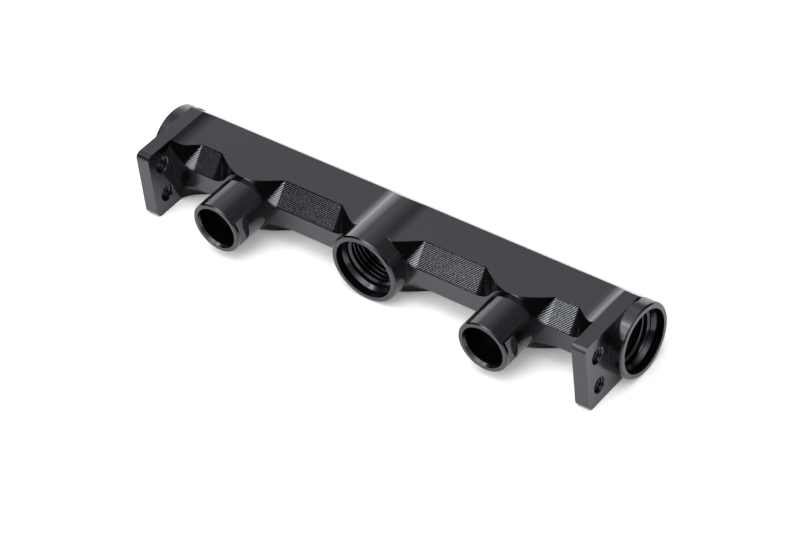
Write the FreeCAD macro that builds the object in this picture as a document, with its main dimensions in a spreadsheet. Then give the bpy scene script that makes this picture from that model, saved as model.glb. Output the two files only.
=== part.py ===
import FreeCAD, Part
import math, os
import Sketcher

# Fuel rail machined from one solid aluminium bar.
# X runs along the rail, the injector bosses and the centre port point to -Y, +Z is up.
# Features are drawn about the axis of the fuel gallery, halfway between the two flanges.
# The finished rail is then set down so that the origin is under its middle.

os.makedirs("parts", exist_ok=True)
doc = FreeCAD.newDocument("FuelRail")

# Driving sizes, in millimetres and degrees
SIZES = [
    ("injector_pitch", 101.3, "distance between the two injector axes"),
    ("flange_offset", 34.05, "injector axis to the outer face of the flange beside it"),
    ("flange_thick", 4.9, "thickness of a flange plate"),
    ("flange_reach", 22.6, "gallery axis to the front edge of a flange"),
    ("flange_corner", 1.9, "radius of the two front corners of a flange"),
    ("half_height", 12.15, "gallery axis to the top and the underside of a flange"),
    ("top_recess", 2.0, "how far the bar is milled down between the flanges"),
    ("bar_front", 12.3, "gallery axis to the front face of the bar"),
    ("bar_back", 11.75, "gallery axis to the back face of the bar"),
    ("back_chamfer", 7.3, "leg of the two long chamfers at the back"),
    ("cove_radius", 8.0, "cutter radius left beside the flanges and the centre hump"),
    ("port_inset", 0.05, "how far the round ports and the hump stay inside the height of a flange"),
    ("port_reach", 18.1, "gallery axis to the face of the centre port"),
    ("port_chamfer", 0.45, "chamfer round the outside of each threaded port"),
    ("end_length", 4.4, "outer face of a flange to the face of its end boss"),
    ("rim_chamfer", 0.35, "chamfer round the outside of each injector boss"),
    ("seat_radius", 10.3, "counterbore of a threaded port"),
    ("seat_depth", 2.7, "depth of that counterbore"),
    ("thread_radius", 9.525, "major radius of the port thread"),
    ("thread_depth", 15.0, "port face to the end of the thread"),
    ("seat_angle", 30.0, "slope of the O-ring seat against the port axis"),
    ("gallery_radius", 7.95, "fuel gallery through the length of the rail"),
    ("boss_radius", 8.85, "outer radius of an injector boss"),
    ("boss_reach", 26.9, "gallery axis to the tip of an injector boss"),
    ("bore_radius", 6.85, "bore that takes the O-ring of an injector"),
    ("bore_depth", 16.0, "depth of that bore"),
    ("drill_angle", 59.0, "half the point angle of the drill"),
    ("lead_radius", 7.35, "mouth of the lead-in for the O-ring"),
    ("lead_depth", 1.0, "depth of that lead-in"),
    ("feed_radius", 4.5, "drilling from an injector bore to the gallery"),
    ("flat_half", 7.55, "boss axis to each of its two flats"),
    ("flat_start", 1.25, "boss tip to the near end of a flat"),
    ("flat_length", 4.2, "length of a flat along the boss"),
    ("screw_radius", 2.5, "screw hole in a flange"),
    ("screw_reach", 16.9, "gallery axis to the screw holes"),
    ("screw_pitch", 11.4, "distance between the two screw holes of a flange"),
    ("screw_chamfer", 0.35, "countersink of a screw hole"),
    ("scoop_hub", 0.35, "axis of an inside corner of a scoop above the milled face"),
    ("scoop_angle", 49.3, "slope of a scoop floor against the horizontal"),
    ("scoop_corner", 7.1, "inside corner of a scoop, at the front face"),
    ("scoop_sharp", 0.1, "what is left of that inside corner at the back"),
    ("scoop_lead", 1.5, "how far the cutter starts in front of the bar"),
    ("ramp_angle", 54.0, "rise of the ramp at each end of a scoop"),
    ("scoop_port", 15.9, "middle of the rail to the inside corner beside the port"),
    ("scoop_boss", 12.8, "boss axis to the inside corner beside the boss"),
    ("scoop_flange", 8.6, "inner face of a flange to the inside corner beside it"),
    ("ramp_port", 5.0, "middle of the rail to where the ramp meets the port"),
]
sheet = doc.addObject("Spreadsheet::Sheet", "Sizes")
for row, (name, value, note) in enumerate(SIZES, start=1):
    sheet.set("A%d" % row, name)
    sheet.set("B%d" % row, "%s" % value)
    sheet.set("C%d" % row, note)
    sheet.setAlias("B%d" % row, name)
doc.recompute()


class Dim:
    """A length with its value now and the expression that binds it to the sheet."""

    def __init__(self, value, text):
        self.value, self.text = float(value), text

    def __add__(self, other):
        other = dim(other)
        return Dim(self.value + other.value, "(%s + %s)" % (self.text, other.text))

    def __sub__(self, other):
        other = dim(other)
        return Dim(self.value - other.value, "(%s - %s)" % (self.text, other.text))

    def __mul__(self, other):
        other = dim(other)
        return Dim(self.value * other.value, "(%s * %s)" % (self.text, other.text))

    def __truediv__(self, other):
        other = dim(other)
        return Dim(self.value / other.value, "(%s / %s)" % (self.text, other.text))

    def __neg__(self):
        return Dim(-self.value, "(0 - %s)" % self.text)


def dim(thing):
    return thing if isinstance(thing, Dim) else Dim(thing, "%.10g" % thing)


def size(name):
    return Dim(float(sheet.get(name)), "Sizes." + name)


def root(thing):
    return Dim(math.sqrt(thing.value), "sqrt(%s)" % thing.text)


def sine(angle):
    return Dim(math.sin(math.radians(angle.value)), "sin(%s * 1 deg)" % angle.text)


def cosine(angle):
    return Dim(math.cos(math.radians(angle.value)), "cos(%s * 1 deg)" % angle.text)


def square(thing):
    return thing * thing


ZERO = dim(0)

body = doc.addObject("PartDesign::Body", "FuelRail")
body.Label = "fuel_rail"


def plane(role):
    return [f for f in body.Origin.OriginFeatures if f.Role == role][0]


def new_sketch(name, role, offset=None):
    """A sketch on one of the body's origin planes, moved along the plane's normal."""
    sketch = body.newObject("Sketcher::SketchObject", name)
    sketch.AttachmentSupport = [(plane(role), "")]
    sketch.MapMode = "FlatFace"
    if offset is not None:
        sketch.setExpression("AttachmentOffset.Base.z", offset.text)
    return sketch


def fix_point(sketch, geo, end, place, label):
    """Holds a point of the sketch at a place that comes from the sheet."""
    for kind, axis, at, letter in (("DistanceX", -2, place[0], "x"),
                                   ("DistanceY", -1, place[1], "y")):
        if at is ZERO:
            sketch.addConstraint(Sketcher.Constraint("PointOnObject", geo, end, axis))
            continue
        index = sketch.addConstraint(Sketcher.Constraint(kind, -1, 1, geo, end, at.value))
        sketch.renameConstraint(index, "%s_%s" % (letter, label))
        sketch.setExpression("Constraints.%s_%s" % (letter, label), at.text)


def draw_loop(sketch, points, arcs, tag="p"):
    """A closed loop through the points. arcs gives {index: (radius, turn)} for the
    edges that are round, with turn +1 where the edge bends to the left, -1 to the right."""
    first = sketch.GeometryCount
    count = len(points)
    flat = [FreeCAD.Vector(p[0].value, p[1].value, 0) for p in points]
    for i in range(count):
        a, b = flat[i], flat[(i + 1) % count]
        if i not in arcs:
            sketch.addGeometry(Part.LineSegment(a, b), False)
            continue
        radius, turn = arcs[i]
        chord = b - a
        side = FreeCAD.Vector(-chord.y, chord.x, 0).normalize() * turn
        rise = math.sqrt(max(radius.value ** 2 - (chord.Length / 2) ** 2, 0))
        centre = (a + b) * 0.5 + side * rise
        middle = centre - side * radius.value
        sketch.addGeometry(Part.Arc(a, middle, b), False)
    for i in range(count):
        # an arc is kept anticlockwise, so one that turns right starts at its far point
        ends = [1 if arcs.get(k, (None, 1))[1] == 1 else 2 for k in (i, (i - 1) % count)]
        here, before = ends[0], 3 - ends[1]
        sketch.addConstraint(Sketcher.Constraint(
            "Coincident", first + (i - 1) % count, before, first + i, here))
        fix_point(sketch, first + i, here, points[i], "%s%d" % (tag, i))
    for i, (radius, turn) in arcs.items():
        index = sketch.addConstraint(Sketcher.Constraint("Radius", first + i, radius.value))
        sketch.renameConstraint(index, "r_%s%d" % (tag, i))
        sketch.setExpression("Constraints.r_%s%d" % (tag, i), radius.text)


def draw_circle(sketch, place, radius, label):
    geo = sketch.addGeometry(Part.Circle(
        FreeCAD.Vector(place[0].value, place[1].value, 0), FreeCAD.Vector(0, 0, 1),
        radius.value), False)
    fix_point(sketch, geo, 3, place, label)
    index = sketch.addConstraint(Sketcher.Constraint("Radius", geo, radius.value))
    sketch.renameConstraint(index, "r_" + label)
    sketch.setExpression("Constraints.r_" + label, radius.text)


def feature(kind, name, sketch):
    made = body.newObject("PartDesign::" + kind, name)
    made.Profile = sketch
    return made


def check_volume(made, before, grows):
    """Stops where a feature adds or cuts nothing."""
    doc.recompute()
    change = made.Shape.Volume - before
    if not made.Shape.isValid() or (change <= 0) == grows or abs(change) < 1e-3:
        raise RuntimeError("%s changes the volume by %.3f" % (made.Name, change))
    print("%-18s %+10.1f mm3" % (made.Name, change))
    return made.Shape.Volume


boss_x = size("injector_pitch") / 2
flange_outer, flange_thick = boss_x + size("flange_offset"), size("flange_thick")
flange_inner = flange_outer - flange_thick
half_height, bar_front, bar_back = size("half_height"), size("bar_front"), size("bar_back")
top_level = half_height - size("top_recess")
back_chamfer, corner = size("back_chamfer"), size("flange_corner")
port_radius, cove = half_height - size("port_inset"), size("cove_radius")

# Bar: the section along the rail, with the two long chamfers at the back
section = new_sketch("BarSection", "YZ_Plane")
draw_loop(section, [
    (-bar_front, -half_height), (bar_back - back_chamfer, -half_height),
    (bar_back, back_chamfer - half_height), (bar_back, half_height - back_chamfer),
    (bar_back - back_chamfer, half_height), (-bar_front, half_height)], {})
bar = feature("Pad", "Bar", section)
bar.setExpression("Length", (flange_outer * 2).text)
bar.Midplane = True
volume = check_volume(bar, 0, True)

# Flanges: a plate at each end that reaches forward past the bar
reach = size("flange_reach")
for name, start in (("FlangeLeft", -flange_outer), ("FlangeRight", flange_inner)):
    plate = new_sketch(name + "Outline", "YZ_Plane", start)
    draw_loop(plate, [
        (-reach, corner - half_height), (corner - reach, -half_height),
        (ZERO, -half_height), (ZERO, half_height),
        (corner - reach, half_height), (-reach, half_height - corner)],
        {0: (corner, 1), 4: (corner, 1)})
    flange = feature("Pad", name, plate)
    flange.setExpression("Length", flange_thick.text)
    volume = check_volume(flange, volume, True)

# Top and underside: milled down between the flanges, with a cutter radius left beside
# each flange and a round hump left over the centre port
cove_width = root(square(cove) - square(cove - (half_height - top_level)))
hump_foot = root(square(port_radius + cove) - square(top_level + cove))
hump_share = port_radius / (port_radius + cove)
hump_x, hump_z = hump_foot * hump_share, (top_level + cove) * hump_share
clear = half_height + cove
mill = new_sketch("MilledFaces", "XZ_Plane")
for up, tag in ((1, "u"), (-1, "d")):
    outline = [
        (-flange_inner, half_height), (cove_width - flange_inner, top_level),
        (-hump_foot, top_level), (-hump_x, hump_z), (hump_x, hump_z),
        (hump_foot, top_level), (flange_inner - cove_width, top_level),
        (flange_inner, half_height), (flange_inner, clear), (-flange_inner, clear)]
    draw_loop(mill, [(x, z if up > 0 else -z) for x, z in outline],
              {0: (cove, up), 2: (cove, up), 3: (port_radius, -up), 4: (cove, up),
               6: (cove, up)}, tag)
milled = feature("Pocket", "MilledTopAndUnderside", mill)
milled.Type = "ThroughAll"
milled.Midplane = True
volume = check_volume(milled, volume, False)

# Scoops: sloped recesses along the front edges, above and below. Every wall of a scoop
# leans back by the slope of its floor, so its round inside corners narrow to almost
# nothing at the back. Each ramp rises out of the floor and bends over until it is level
# with the milled face, or ends at the flange.
slope, rise = size("scoop_angle"), size("ramp_angle")
sin_rise, cos_rise = sine(rise), cosine(rise)
lean = sine(slope) / cosine(slope)
scoop_corner, sharp = size("scoop_corner"), size("scoop_sharp")
hub_level = top_level + size("scoop_hub")
scoop_lead = size("scoop_lead")
scoop_depth = (scoop_corner - sharp) / lean


def ramp(corner_x, end_x, level, way, shift):
    """Points of one end of a scoop, from the floor to the open top, where the outline has
    shrunk by shift. way is +1 at the right end, and level says that the ramp bends over."""
    radius = scoop_corner - shift
    foot = (corner_x, hub_level - radius)
    knee = (corner_x + radius * sin_rise * way, hub_level - radius * cos_rise)
    top = (end_x, clear)
    if not level:
        wall = (end_x, knee[1] + (end_x - knee[0]) * way * sin_rise / cos_rise)
        return [foot, knee, wall, top], radius, None
    run = (end_x - corner_x) * way
    bend = (run * sin_rise - (top_level - hub_level) * cos_rise - scoop_corner) / (
        dim(1) - cos_rise)
    wide = bend + shift
    brow = (end_x - wide * sin_rise * way, top_level - bend + wide * cos_rise)
    crest = (end_x, top_level - bend + wide)
    return [foot, knee, brow, crest, top], radius, wide


def scoop(name, left, right, up):
    """One scoop between two ends, each given as (inside corner, end of ramp, level)."""
    sketches = []
    for part, depth in (("Front", -scoop_lead), ("Back", scoop_depth)):
        shift = lean * depth
        left_side, radius, left_wide = ramp(*left, -1, shift)
        right_side, radius, right_wide = ramp(*right, 1, shift)
        path = list(reversed(left_side)) + right_side
        n = len(left_side)
        arcs = {n - 2: (radius, up), n: (radius, up)}
        if left_wide:
            arcs[n - 4] = (left_wide, -up)
        if right_wide:
            arcs[n + 2] = (right_wide, -up)
        sketch = new_sketch(name + part, "XZ_Plane", bar_front - depth)
        draw_loop(sketch, [(x, z if up > 0 else -z) for x, z in path], arcs)
        sketches.append(sketch)
    cut = feature("SubtractiveLoft", name, sketches[0])
    cut.Sections = [sketches[1]]
    cut.Ruled = True
    return cut


beside_boss, ramp_port = size("scoop_boss"), size("ramp_port")
inner_ends = ((size("scoop_port"), ramp_port, True), (boss_x - beside_boss, boss_x, True))
outer_ends = ((boss_x + beside_boss, boss_x, True),
              (flange_inner - size("scoop_flange"), flange_inner, False))
scoops = []
for up, where in ((1, "Upper"), (-1, "Lower")):
    for name, ends in (("Inner", inner_ends), ("Outer", outer_ends)):
        scoops.append(scoop("Scoop" + where + name, ends[0], ends[1], up))
        volume = check_volume(scoops[-1], volume, False)


def mirror(name, originals):
    made = body.newObject("PartDesign::Mirrored", name)
    made.Originals = originals
    made.MirrorPlane = (plane("YZ_Plane"), [""])
    body.Tip = made
    return made


volume = check_volume(mirror("ScoopsLeft", scoops), volume, False)

# Centre port, end bosses and injector bosses: turned blanks with a chamfered rim
rim = size("rim_chamfer")
port_reach, boss_reach = size("port_reach"), size("boss_reach")
end_reach = flange_outer + size("end_length")
boss_radius = size("boss_radius")


def turned(kind, name, points, axis, shift=None):
    """Revolves a half section about the rail's X axis, about Y, or about a line beside Y."""
    sketch = new_sketch(name + "Section", "XY_Plane")
    draw_loop(sketch, points, {})
    made = feature(kind, name, sketch)
    if shift is None:
        made.ReferenceAxis = (sketch, [axis])
    else:
        line = sketch.addGeometry(Part.LineSegment(
            FreeCAD.Vector(shift.value, 0, 0), FreeCAD.Vector(shift.value, -1, 0)), True)
        fix_point(sketch, line, 1, (shift, ZERO), "axis")
        sketch.addConstraint(Sketcher.Constraint("Vertical", line))
        index = sketch.addConstraint(Sketcher.Constraint("DistanceY", line, 2, line, 1, 1.0))
        sketch.renameConstraint(index, "axis_length")
        made.ReferenceAxis = (sketch, ["Axis0"])
    made.Angle = 360
    return made


lip = size("port_chamfer")
port = turned("Revolution", "CentrePort", [
    (ZERO, -port_reach), (port_radius - lip, -port_reach), (port_radius, lip - port_reach),
    (port_radius, ZERO), (ZERO, ZERO)], "V_Axis")
volume = check_volume(port, volume, True)
end_boss = turned("Revolution", "EndBoss", [
    (flange_outer, ZERO), (end_reach, ZERO), (end_reach, port_radius - lip),
    (end_reach - lip, port_radius), (flange_outer, port_radius)], "H_Axis")
volume = check_volume(end_boss, volume, True)
boss = turned("Revolution", "InjectorBoss", [
    (boss_x, -boss_reach), (boss_x + boss_radius - rim, -boss_reach),
    (boss_x + boss_radius, rim - boss_reach), (boss_x + boss_radius, ZERO),
    (boss_x, ZERO)], None, boss_x)
volume = check_volume(boss, volume, True)

# Two spanner flats on each injector boss
flat_half, flat_near = size("flat_half"), size("flat_start") - boss_reach
flat_far = flat_near + size("flat_length")
flats = new_sketch("FlatsOutline", "XY_Plane")
for way, tag in ((-1, "a"), (1, "b")):
    inside, outside = boss_x + flat_half * way, boss_x + (boss_radius + rim) * way
    draw_loop(flats, [(inside, flat_near), (outside, flat_near), (outside, flat_far),
                      (inside, flat_far)], {}, tag)
flat_cut = feature("Pocket", "SpannerFlats", flats)
flat_cut.Type = "ThroughAll"
flat_cut.Midplane = True
volume = check_volume(flat_cut, volume, False)
volume = check_volume(mirror("BossesLeft", [end_boss, boss, flat_cut]), volume, True)

# Fuel gallery through the rail, threaded ports with their O-ring seats, injector bores
gallery = size("gallery_radius")
bore_line = new_sketch("GalleryOutline", "YZ_Plane")
draw_circle(bore_line, (ZERO, ZERO), gallery, "gallery")
gallery_cut = feature("Pocket", "Gallery", bore_line)
gallery_cut.Type = "ThroughAll"
gallery_cut.Midplane = True
volume = check_volume(gallery_cut, volume, False)

seat_radius, seat_depth = size("seat_radius"), size("seat_depth")
thread_radius, thread_depth = size("thread_radius"), size("thread_depth")
seat_angle = size("seat_angle")
seat_end = seat_depth + (seat_radius - thread_radius) * cosine(seat_angle) / sine(seat_angle)
port_cut = turned("Groove", "CentrePortBore", [
    (ZERO, -port_reach - rim), (seat_radius, -port_reach - rim),
    (seat_radius, seat_depth - port_reach), (thread_radius, seat_end - port_reach),
    (thread_radius, thread_depth - port_reach), (ZERO, thread_depth - port_reach)], "V_Axis")
volume = check_volume(port_cut, volume, False)
end_cut = turned("Groove", "EndPortBore", [
    (end_reach + rim, ZERO), (end_reach + rim, seat_radius),
    (end_reach - seat_depth, seat_radius), (end_reach - seat_end, thread_radius),
    (end_reach - thread_depth, thread_radius), (end_reach - thread_depth, ZERO)], "H_Axis")
volume = check_volume(end_cut, volume, False)
bore, lead, feed = size("bore_radius"), size("lead_radius"), size("feed_radius")
bore_end = size("bore_depth") - boss_reach
drill = size("drill_angle")
cone_end = bore_end + (bore - feed) * cosine(drill) / sine(drill)
injector_cut = turned("Groove", "InjectorBore", [
    (boss_x, -boss_reach - rim), (boss_x + lead, -boss_reach - rim),
    (boss_x + lead, -boss_reach), (boss_x + bore, size("lead_depth") - boss_reach),
    (boss_x + bore, bore_end), (boss_x + feed, cone_end), (boss_x + feed, ZERO),
    (boss_x, ZERO)], None, boss_x)
volume = check_volume(injector_cut, volume, False)

# Screw holes through the flanges
screw_radius, screw_reach = size("screw_radius"), size("screw_reach")
screws = new_sketch("ScrewHoles", "YZ_Plane", flange_outer)
for way, tag in ((-1, "low"), (1, "high")):
    draw_circle(screws, (-screw_reach, size("screw_pitch") / 2 * way), screw_radius, tag)
screw_cut = feature("Pocket", "FlangeScrewHoles", screws)
screw_cut.setExpression("Length", flange_thick.text)
volume = check_volume(screw_cut, volume, False)
bores_left = mirror("BoresLeft", [end_cut, injector_cut, screw_cut])
volume = check_volume(bores_left, volume, False)


def circles(shape, radius, axis):
    """Names of the edges that are full circles of a radius about an axis direction."""
    names = []
    for number, edge in enumerate(shape.Edges, start=1):
        curve = edge.Curve
        if curve.TypeId == "Part::GeomCircle" and abs(curve.Radius - radius) < 1e-4:
            if abs(abs(curve.Axis.dot(axis)) - 1) < 1e-6 and len(edge.Vertexes) == 1:
                names.append("Edge%d" % number)
    return names


rims = body.newObject("PartDesign::Chamfer", "ScrewHoleChamfers")
rims.Base = (bores_left, circles(bores_left.Shape, screw_radius.value, FreeCAD.Vector(1, 0, 0)))
rims.setExpression("Size", size("screw_chamfer").text)
volume = check_volume(rims, volume, False)

# Set down on the undersides of the flanges, centred front to back
body.setExpression("Placement.Base.y", ((boss_reach - port_radius) / 2).text)
body.setExpression("Placement.Base.z", half_height.text)
doc.recompute()
for thing in doc.Objects:
    if "Invalid" in thing.State or "Error" in thing.State:
        raise RuntimeError("%s: %s" % (thing.Name, thing.State))
shape = body.Shape
if shape.isNull() or not shape.isValid() or len(shape.Solids) != 1:
    raise RuntimeError("fuel_rail is not one valid solid")
box = shape.optimalBoundingBox()
print("fuel_rail %.1f x %.1f x %.1f mm, %.0f mm3, %d faces" % (
    box.XLength, box.YLength, box.ZLength, shape.Volume, len(shape.Faces)))
shape.exportStep("parts/%s.step" % body.Label)
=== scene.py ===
# %% [markdown]
# A fuel rail that was machined from one aluminium bar, then anodised black.
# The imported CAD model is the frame: it has the right shape already, so most of the work
# here is the finish, the threads that are too fine for the solid, and the light.
# Everything is in metres, in the same frame as the CAD.

# %% Load the frame
import math

import bmesh
import bpy
from mathutils import Matrix, Vector


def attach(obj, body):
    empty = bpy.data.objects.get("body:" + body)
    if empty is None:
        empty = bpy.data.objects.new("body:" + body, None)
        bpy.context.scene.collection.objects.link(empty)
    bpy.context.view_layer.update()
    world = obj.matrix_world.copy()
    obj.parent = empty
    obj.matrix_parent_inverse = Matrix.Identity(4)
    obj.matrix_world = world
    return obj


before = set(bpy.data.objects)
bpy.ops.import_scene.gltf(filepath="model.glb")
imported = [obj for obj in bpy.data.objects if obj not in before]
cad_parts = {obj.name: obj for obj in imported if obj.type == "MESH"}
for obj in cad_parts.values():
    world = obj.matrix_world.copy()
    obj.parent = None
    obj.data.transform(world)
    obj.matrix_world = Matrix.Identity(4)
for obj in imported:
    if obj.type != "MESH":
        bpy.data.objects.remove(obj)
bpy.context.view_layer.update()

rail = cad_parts["fuel_rail"]

# %% [markdown]
# The finish and the threads need some sizes of the solid, which are in millimetres. The
# gallery is the long fuel passage, and its axis is the line that everything is measured
# from, so a small helper turns a point given from the gallery into a place in the frame.

# %% The gallery's axis
MM = 0.001
GALLERY_Y, GALLERY_Z = 7.4, 12.15


def place(x, y, z):
    """A point given in millimetres from the middle of the gallery, in the frame."""
    return Vector((x, y + GALLERY_Y, z + GALLERY_Z)) * MM


print("middle of the gallery in metres:", [round(v, 5) for v in place(0, 0, 0)])


# %% [markdown]
# Colours are given as the hex values that a paint program shows. Those are sRGB,
# and shaders work with linear light, so one function turns them. A second helper adds any
# shader node with its settings and its links, which keeps each material short to read,
# and a third starts a material.

# %% Colour and node helpers
def linear(hex_colour):
    """A colour such as #808080 in linear light, with an alpha of 1 behind it."""
    channels = [int(hex_colour[i:i + 2], 16) / 255 for i in (1, 3, 5)]
    return [c / 12.92 if c <= 0.04045 else ((c + 0.055) / 1.055) ** 2.4
            for c in channels] + [1.0]


def add_node(tree, kind, *values, **named):
    """Adds a node. The values fill its sockets in order. A name in small letters is one of
    its settings, and a name with a capital is a socket. A value is a number, a colour, a
    node, of which the first output is linked, or an output."""
    node = tree.nodes.new("ShaderNode" + kind)
    inputs = dict(enumerate(values))
    for name, value in named.items():
        if name.islower():
            setattr(node, name, value)
        else:
            inputs[name.replace("_", " ")] = value
    for socket, value in inputs.items():
        if isinstance(value, bpy.types.Node):
            value = value.outputs[0]
        if isinstance(value, bpy.types.NodeSocket):
            tree.links.new(value, node.inputs[socket])
        else:
            node.inputs[socket].default_value = value
    return node


def new_material(name):
    """A material, and its node tree, which is empty."""
    material = bpy.data.materials.new(name)
    material.use_nodes = True
    material.node_tree.nodes.clear()
    return material, material.node_tree


print("the grey #808080 is %.3f in linear light" % linear("#808080")[0])

# %% [markdown]
# Black anodising is a dyed layer of aluminium oxide, about 0.02 mm thick, grown out of the
# machined surface. The dye swallows nearly all the light that enters, so the eye sees
# a deep black and, over it, the soft gloss of the oxide's own surface. That is a glassy
# film and no bare metal, so the shader is not metallic and takes the index of the oxide.
# A very fine grain breaks the gloss as the etched surface does, and every edge is broken
# by less than a tenth of a millimetre, as light deburring leaves it.

# %% Where things are on the surface
finish, tree = new_material("satin_black_anodised_aluminium")
where = add_node(tree, "TexCoord").outputs["Object"]
in_mm = add_node(tree, "VectorMath", where, operation="SCALE", Scale=1 / MM)
along, backward, upward = add_node(tree, "SeparateXYZ", in_mm).outputs
normal = add_node(tree, "NewGeometry").outputs["True Normal"]
facing = add_node(tree, "SeparateXYZ", normal).outputs
from_middle = add_node(tree, "Math", along, operation="ABSOLUTE")
from_axis = add_node(tree, "Math", upward, GALLERY_Z, operation="SUBTRACT")
from_axis = add_node(tree, "Math", from_axis, operation="ABSOLUTE")
print("material", finish.name, "with", len(tree.nodes), "nodes so far")

# %% [markdown]
# Along its front edges the rail is milled away in scoops, to save weight. Every wall of a
# scoop leans back by the same angle, so the part of the surface normal that points forward
# tells the scoops from all other faces. The part that points along the rail tells their
# floors and inside corners from the ramps, which the side of the cutter left smooth and
# which lie in shade, so their shade is painted in further down. A ramp bends over to the
# flat top beside the centre port and beside each boss, and there the painted shade fades
# out with the turn of the normal.

# %% The scoops' place in the finish
LEAN = math.radians(49.3)
LEAN_TOLERANCE = 0.012
SCOOPS_END = 79.7       # beyond it are only the flanges and the end bosses
leaning = add_node(tree, "Math", facing["Y"], -math.sin(LEAN), LEAN_TOLERANCE,
                   operation="COMPARE")
between = add_node(tree, "Math", from_middle, SCOOPS_END, operation="LESS_THAN")
scooped = add_node(tree, "Math", leaning, between, operation="MULTIPLY")
print("scoops: walls that lean back by %.1f degrees" % math.degrees(LEAN))

# %% The bends of the ramps
INJECTOR_X = 50.65
PORT_BEND, BOSS_BEND = 9.5, 6.7     # how far the bends reach from the port and from a boss
off_port = add_node(tree, "Math", from_middle, PORT_BEND, operation="GREATER_THAN")
from_boss = add_node(tree, "Math", from_middle, INJECTOR_X, operation="SUBTRACT")
from_boss = add_node(tree, "Math", from_boss, operation="ABSOLUTE")
off_boss = add_node(tree, "Math", from_boss, BOSS_BEND, operation="GREATER_THAN")
off_bends = add_node(tree, "Math", off_port, off_boss, operation="MULTIPLY")
print("bends: up to %.1f mm from the middle" % (INJECTOR_X + BOSS_BEND))

# %% Floors and ramps
CORNER_TURN, RAMP_TURN = 0.34, 0.4  # the normal's part along the rail, in a corner, on a ramp
sideways = add_node(tree, "Math", facing["X"], operation="ABSOLUTE")
level_enough = add_node(tree, "Math", sideways, CORNER_TURN, operation="LESS_THAN")
in_scoop = add_node(tree, "Math", scooped, off_bends, operation="MULTIPLY")
in_scoop = add_node(tree, "Math", in_scoop, level_enough, operation="MULTIPLY")
steepness = add_node(tree, "Math", sideways, 1 / RAMP_TURN, operation="MULTIPLY")
steepness = add_node(tree, "Math", steepness, 1.0, operation="MINIMUM")
# where the painted shade of the ramps goes, fading out in the bends
on_ramp = add_node(tree, "Math", scooped, in_scoop, operation="SUBTRACT")
on_ramp = add_node(tree, "Math", on_ramp, steepness, operation="MULTIPLY")
print("material", finish.name, "with", len(tree.nodes), "nodes so far")

# %% [markdown]
# A ball cutter went over the scoops in close rows, so they are left with small dimples.
# Two sets of waves make them: one runs slantwise over the floor, the other straight up it.
# Each is a sine of the distance in millimetres, and noise thins them out here and there.

# %% Tool marks
SLANT_UP, SLANT_ALONG, ROWS_UP = 1.14, 1.18, 1.87   # waves in a millimetre
ROW_SHARE = 0.5
back_part = add_node(tree, "Math", backward, math.cos(LEAN), operation="MULTIPLY")
high_part = add_node(tree, "Math", from_axis, math.sin(LEAN), operation="MULTIPLY")
up_slope = add_node(tree, "Math", back_part, high_part, operation="ADD")
slant_up = add_node(tree, "Math", up_slope, SLANT_UP, operation="MULTIPLY")
slant_along = add_node(tree, "Math", along, SLANT_ALONG, operation="MULTIPLY")
slant = add_node(tree, "Math", slant_up, slant_along, operation="SUBTRACT")
slant = add_node(tree, "Math", slant, math.tau, operation="MULTIPLY")
slant = add_node(tree, "Math", slant, operation="SINE")
rows = add_node(tree, "Math", up_slope, ROWS_UP * math.tau, operation="MULTIPLY")
rows = add_node(tree, "Math", rows, operation="SINE")
rows = add_node(tree, "Math", rows, ROW_SHARE, operation="MULTIPLY")
waves = add_node(tree, "Math", slant, rows, operation="ADD")
print("tool marks: rows %.2f mm apart" % (1 / ROWS_UP))

# %% Fainter places in the tool marks
PATCH, EVEN_SHARE = 1.1, 0.4    # patches in millimetres, and what is left in the faintest
uneven = add_node(tree, "TexNoise", Vector=where, Scale=1 / (PATCH * MM), Detail=2.0,
                  Roughness=0.6)
uneven = add_node(tree, "Math", uneven, EVEN_SHARE, operation="ADD")
marks = add_node(tree, "Math", waves, uneven, operation="MULTIPLY")
marks = add_node(tree, "Math", marks, in_scoop, operation="MULTIPLY")
print("fainter places: patches %.1f mm wide" % PATCH)

# %% [markdown]
# The ridges of the tool marks catch glints and their hollows lie in shade. A bump deep
# enough to show that would smear the reflection over the whole scoop, so the bump stays
# slight, and the marks also raise and lower the specular level round its usual 0.5, which
# paints the glints and the shade in. The same value takes nearly all of the reflection from
# the ramps, which paints in the shade they lie in, and it leaves a thin line with less
# reflection where a floor meets the front and the top.

# %% Light and dark of the scoops
# the usual specular level, and how strongly the marks paint glints and shade into it
USUAL_LEVEL, MARK_GLINT_AND_SHADE = 0.5, 0.8
# how much painted shade takes from the ramps' reflection, and how much the thin rim line loses
RAMP_PAINTED_SHADE, RIM_LOSS = 0.48, 0.7
BAR_FRONT, TOP_LEVEL = GALLERY_Y - 12.3, 10.15  # the second is the height above the axis
FRONT_RIM, TOP_RIM = 0.25, 0.3                  # width of the dull line on each side
at_front = add_node(tree, "Math", backward, BAR_FRONT + FRONT_RIM, operation="LESS_THAN")
at_top = add_node(tree, "Math", from_axis, TOP_LEVEL - TOP_RIM, operation="GREATER_THAN")
at_rim = add_node(tree, "Math", at_front, at_top, operation="MAXIMUM")
at_rim = add_node(tree, "Math", at_rim, in_scoop, operation="MULTIPLY")
rim_loss = add_node(tree, "Math", at_rim, RIM_LOSS, operation="MULTIPLY")
# painted shade: the ramps lose nearly all of their reflection
ramp_painted_shade = add_node(tree, "Math", on_ramp, RAMP_PAINTED_SHADE, operation="MULTIPLY")
loss = add_node(tree, "Math", ramp_painted_shade, rim_loss, operation="ADD")
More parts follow.
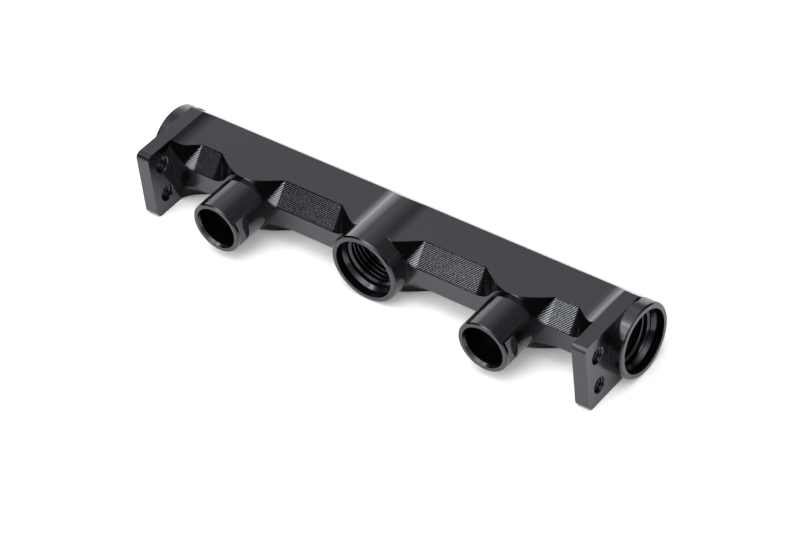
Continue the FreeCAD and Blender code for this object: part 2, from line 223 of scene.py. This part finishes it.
# painted glints and shade: the tool marks raise the reflection on their ridges and lower it in
# their hollows
specular_with_painted_light = add_node(tree, "Math", marks, MARK_GLINT_AND_SHADE, operation="MULTIPLY")
specular_with_painted_light = add_node(tree, "Math", USUAL_LEVEL, specular_with_painted_light, operation="ADD")
specular_with_painted_light = add_node(tree, "Math", specular_with_painted_light, loss, operation="SUBTRACT")
specular_with_painted_light = add_node(tree, "Math", specular_with_painted_light, 0.0, operation="MAXIMUM")
print("material", finish.name, "with", len(tree.nodes), "nodes so far")

# %% [markdown]
# The rest of the finish is the coating itself. The grain of the real surface is finer than
# a pixel here, so it is drawn coarser, 0.5 mm wide. A slow cloud varies the gloss a little,
# and the Bevel node rounds the edges in the shading alone, so no vertex is moved.

# %% Gloss and bumps
GLOSSIEST, DULLEST = 0.15, 0.19         # roughness
GRAIN_WIDTH, CLOUD_WIDTH = 0.5, 17      # these and the depths are in millimetres
EDGE_BREAK, GRAIN_DEPTH, MARKS_DEPTH = 0.08, 0.04, 0.003
grain = add_node(tree, "TexNoise", Vector=where, Scale=1 / (GRAIN_WIDTH * MM), Detail=2.0,
                 Roughness=0.6)
cloud = add_node(tree, "TexNoise", Vector=where, Scale=1 / (CLOUD_WIDTH * MM), Detail=2.0,
                 Roughness=0.5)
gloss = add_node(tree, "MapRange", Value=cloud, To_Min=GLOSSIEST, To_Max=DULLEST)
edges = add_node(tree, "Bevel", Radius=EDGE_BREAK * MM, samples=4)
grained = add_node(tree, "Bump", Height=grain, Strength=0.6, Distance=GRAIN_DEPTH * MM,
                   Normal=edges)
dimpled = add_node(tree, "Bump", Height=marks, Strength=1.0, Distance=MARKS_DEPTH * MM,
                   Normal=grained)
print("edges broken by %.2f mm, grain %.1f mm wide" % (EDGE_BREAK, GRAIN_WIDTH))

# %% Satin black anodised aluminium
OXIDE_IOR = 1.62
coating = add_node(tree, "BsdfPrincipled", Base_Color=linear("#060607"), Metallic=0.0,
                   IOR=OXIDE_IOR, Roughness=gloss, Specular_IOR_Level=specular_with_painted_light,
                   Specular_Tint=linear("#eff2ff"), Normal=dimpled)
add_node(tree, "OutputMaterial", Surface=coating)
rail.data.materials.clear()
rail.data.materials.append(finish)
print("finish:", finish.name, "on", rail.name, "with", len(rail.data.polygons), "triangles")

# %% [markdown]
# The port threads are 3/4-16: sixteen turns to the inch, 1.5875 mm apart. A thread is one
# ridge that winds inwards along the bore. Here its small profile is spun about the bore's
# axis and moved along it at the same time, which is what bmesh's spin does when it is
# given a step, and the result is one long closed ridge that sits on the bore's wall. At
# the centre port the gallery crosses the bore, so the ridge stops where the gallery opens.

# %% A helper that winds a thread
def wind_thread(name, major, minor, pitch, length, mouth, outwards, crossing=None):
    """A ridge inside a bore, sizes in millimetres. mouth is the place on the axis where the
    first turn starts, and outwards the way the bore opens. Where another bore crosses this
    one, crossing is that bore's radius and its depth below the mouth, and the ridge is cut
    away there."""
    steps_a_turn = 48
    turns = length / pitch
    mesh = bmesh.new()
    # the profile stands in the plane of the axis, with its base sunk just into the wall
    half, crest, sunk = pitch * 0.37, pitch * 0.05, 0.02
    corners = [(major + sunk, 0, -half), (minor, 0, -crest), (minor, 0, crest),
               (major + sunk, 0, half)]
    face = mesh.faces.new([mesh.verts.new(Vector(c) * MM) for c in corners])
    steps = round(steps_a_turn * turns)
    bmesh.ops.spin(
        mesh, geom=[face] + list(face.edges) + list(face.verts), cent=(0, 0, 0),
        axis=(0, 0, 1), dvec=(0, 0, -length * MM / steps), angle=math.tau * turns,
        steps=steps, use_merge=False)
    # the ridge grows out of the wall over its first third of a turn, and ends the same way
    fading = steps_a_turn / 3
    mesh.verts.index_update()
    for vert in mesh.verts:
        step = vert.index // len(corners)
        share = min(1.0, (step + 0.5) / fading, (steps - step + 0.5) / fading)
        radius = vert.co.xy.length
        wall = (major + sunk) * MM
        vert.co.xy *= (wall - (wall - radius) * share) / radius
    if crossing:
        reach, depth = crossing
        lost = [face for face in mesh.faces if all(
            math.hypot(v.co.y / MM, v.co.z / MM + depth) < reach for v in face.verts)]
        bmesh.ops.delete(mesh, geom=lost, context="FACES")
        bmesh.ops.holes_fill(mesh, edges=mesh.edges, sides=len(corners))
    bmesh.ops.recalc_face_normals(mesh, faces=mesh.faces)
    turn = Vector((0, 0, 1)).rotation_difference(outwards).to_matrix().to_4x4()
    bmesh.ops.transform(mesh, matrix=Matrix.Translation(mouth) @ turn, verts=mesh.verts)
    data = bpy.data.meshes.new(name)
    mesh.to_mesh(data)
    mesh.free()
    for polygon in data.polygons:
        polygon.use_smooth = False
    piece = bpy.data.objects.new(name, data)
    bpy.context.scene.collection.objects.link(piece)
    data.materials.append(finish)
    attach(piece, "root")
    print(name, "turns %.1f, faces %d" % (turns, len(data.polygons)))


# %% Threads of the three ports
PORT_REACH, END_REACH = 18.1, 89.1
THREAD_MAJOR, THREAD_MINOR, THREAD_PITCH = 9.525, 8.67, 1.5875      # radii, and pitch
FIRST_CREST, THREAD_LENGTH, GALLERY_RADIUS = 4.7, 9.8, 7.95
CUT_MARGIN = 0.1
left, right, front = Vector((-1, 0, 0)), Vector((1, 0, 0)), Vector((0, -1, 0))
gallery_crosses = (GALLERY_RADIUS + CUT_MARGIN, PORT_REACH - FIRST_CREST)
for name, mouth, outwards, crossing in (
        ("port_thread_left", place(FIRST_CREST - END_REACH, 0, 0), left, None),
        ("port_thread_right", place(END_REACH - FIRST_CREST, 0, 0), right, None),
        ("port_thread_centre", place(0, FIRST_CREST - PORT_REACH, 0), front, gallery_crosses)):
    wind_thread(name, THREAD_MAJOR, THREAD_MINOR, THREAD_PITCH, THREAD_LENGTH, mouth,
                outwards, crossing)

# %% [markdown]
# The flanges are bolted to a bracket by small screws, two in each, and their holes show the
# same kind of ridge. It has M5 sizes, and the same helper winds it in all four holes.

# %% Threads of the four flange holes
FLANGE_OUTER, COUNTERSINK = 84.7, 0.85
SCREW_MAJOR, SCREW_MINOR, SCREW_PITCH = 2.5, 2.1, 0.8
SCREW_Y, SCREW_Z, SCREW_LENGTH = -16.9, 5.7, 3.2
for side, x, outwards in (("left", COUNTERSINK - FLANGE_OUTER, left),
                          ("right", FLANGE_OUTER - COUNTERSINK, right)):
    for height, z in (("lower", -SCREW_Z), ("upper", SCREW_Z)):
        wind_thread("screw_thread_%s_%s" % (side, height), SCREW_MAJOR, SCREW_MINOR,
                    SCREW_PITCH, SCREW_LENGTH, place(x, SCREW_Y, z), outwards)

# %% [markdown]
# The rail lies on a white table. A product photographer lets the table burn out to pure
# white but keeps the soft shadow on it. The table's material does the same: what the
# camera and the reflections see gets some light of its own on top of the plain white.

# %% Table
OWN_LIGHT, TABLE_SIZE = 0.20, 6.0
table_material, tree = new_material("white_table")
ray = add_node(tree, "LightPath").outputs
seen = add_node(tree, "Math", ray["Is Camera Ray"], ray["Is Glossy Ray"],
                operation="MAXIMUM")
seen = add_node(tree, "Math", seen, ray["Is Transmission Ray"], operation="MAXIMUM")
glow = add_node(tree, "Math", seen, OWN_LIGHT, operation="MULTIPLY")
lit = add_node(tree, "BsdfDiffuse", Color=linear("#f3f3f4"))
own = add_node(tree, "Emission", Color=linear("#ffffff"), Strength=glow)
both = add_node(tree, "AddShader", lit, own)
add_node(tree, "OutputMaterial", Surface=both)

mesh = bmesh.new()
bmesh.ops.create_grid(mesh, x_segments=1, y_segments=1, size=TABLE_SIZE)
data = bpy.data.meshes.new("table")
mesh.to_mesh(data)
mesh.free()
table = bpy.data.objects.new("table", data)
bpy.context.scene.collection.objects.link(table)
data.materials.append(table_material)
print("table:", len(data.polygons), "face, own light", OWN_LIGHT)

# %% [markdown]
# Black satin shows hardly anything but what it mirrors, so the room matters more than any
# lamp: soft panels at the front and overhead, a bright backdrop low down behind, and dark
# gaps between them. Each panel is a soft round glow in the sky, given by the way it lies
# from the rail, by how bright its middle is and by how tightly it is bundled. Its light is
# brightness x exp(tightness x (cosine - 1)), where the cosine is that of the angle between
# the way looked and the panel, so it is brightest in its middle and fades all round.

# %% Room
PANELS = [
    # compass angle from +X, height above the horizon in degrees, brightness, tightness
    (35, 12, 0.37, 55), (44, 36, 0.11, 55), (53, 46, 0.09, 55), (127, 46, 0.60, 55),
    (136, 36, 0.16, 55), (142, 24, 1.65, 55), (145, 12, 0.71, 55), (146, 0, 2.50, 55),
    (120, 0, 1.44, 55), (121, 13, 1.83, 55), (124, 26, 0.21, 55), (139, 49, 0.34, 55),
    (180, 60, 0.56, 55), (204, 57, 1.02, 55), (0, 12, 0.60, 14), (330, 12, 0.12, 14),
    (0, 45, 1.60, 14), (270, 45, 1.54, 14), (300, 75, 3.80, 14), (120, 75, 1.74, 14),
    # the tall soft box at the front left, with a sharper edge on its left
    (245, 28, 7.6, 300), (244, 17, 2.5, 300), (238, 39, 2.0, 300), (246, 40, 3.0, 200),
    (253, 28, 3.6, 200), (253, 17, 3.0, 200), (253, 39, 3.0, 200),
    (264, 28, 3.2, 140), (264, 15, 2.5, 140), (264, 41, 2.5, 140),
    # two small lamps high on the left
    (218, 60, 9.0, 200), (231, 47, 6.5, 240),
]
world = bpy.data.worlds.new("studio_room")
bpy.context.scene.world = world
world.use_nodes = True
tree = world.node_tree
tree.nodes.clear()
way = add_node(tree, "TexCoord").outputs["Generated"]
total = 0.0
for compass, height, brightness, tightness in PANELS:
    compass, height = math.radians(compass), math.radians(height)
    towards = Vector((math.cos(compass) * math.cos(height),
                      math.sin(compass) * math.cos(height), math.sin(height)))
    aim = add_node(tree, "VectorMath", way, towards * tightness, operation="DOT_PRODUCT")
    power = add_node(tree, "Math", aim.outputs["Value"], math.log(brightness) - tightness,
                     operation="ADD")
    glow = add_node(tree, "Math", power, operation="EXPONENT")
    total = add_node(tree, "Math", glow, total, operation="ADD")
sky = add_node(tree, "Background", Color=linear("#ffffff"), Strength=total)
add_node(tree, "OutputWorld", Surface=sky)
print("panels in the room:", len(PANELS))

# %% [markdown]
# The camera stands where the photographer stood: to the right of the rail's front, looking
# down at it through a long lens, with the camera tipped a little to one side. The focal
# length is given in pixels of the picture, and turned into the millimetres of a sensor.

# %% Camera
SENSOR_WIDTH = 36.0
AZIMUTH, ELEVATION, TILT = math.radians(41.94), math.radians(41.32), math.radians(-7.01)
FOCAL_PIXELS, IMAGE_WIDTH, DISTANCE = 3064.0, 800.0, 927.7
RIGHT_MM, UP_MM = 0.10, -9.32
back = Vector((math.sin(AZIMUTH) * math.cos(ELEVATION),
               -math.cos(AZIMUTH) * math.cos(ELEVATION), math.sin(ELEVATION)))
across = Vector((0, 0, 1)).cross(back).normalized()
rise = back.cross(across)
to_right = across * math.cos(TILT) + rise * math.sin(TILT)
to_top = rise * math.cos(TILT) - across * math.sin(TILT)
lens = bpy.data.cameras.new("camera")
lens.sensor_width = SENSOR_WIDTH
lens.lens = FOCAL_PIXELS * SENSOR_WIDTH / IMAGE_WIDTH
lens.clip_start, lens.clip_end = 0.05, 50.0
camera = bpy.data.objects.new("camera", lens)
camera.matrix_world = Matrix.Translation(
    place(0, 0, 0) + (back * DISTANCE + to_right * RIGHT_MM + to_top * UP_MM) * MM) @ (
    Matrix((to_right, to_top, back)).transposed().to_4x4())
bpy.context.scene.collection.objects.link(camera)
bpy.context.scene.camera = camera
bpy.context.scene.view_settings.view_transform = "Standard"
print("lens %.1f mm, camera at" % lens.lens, [round(v, 3) for v in camera.location])
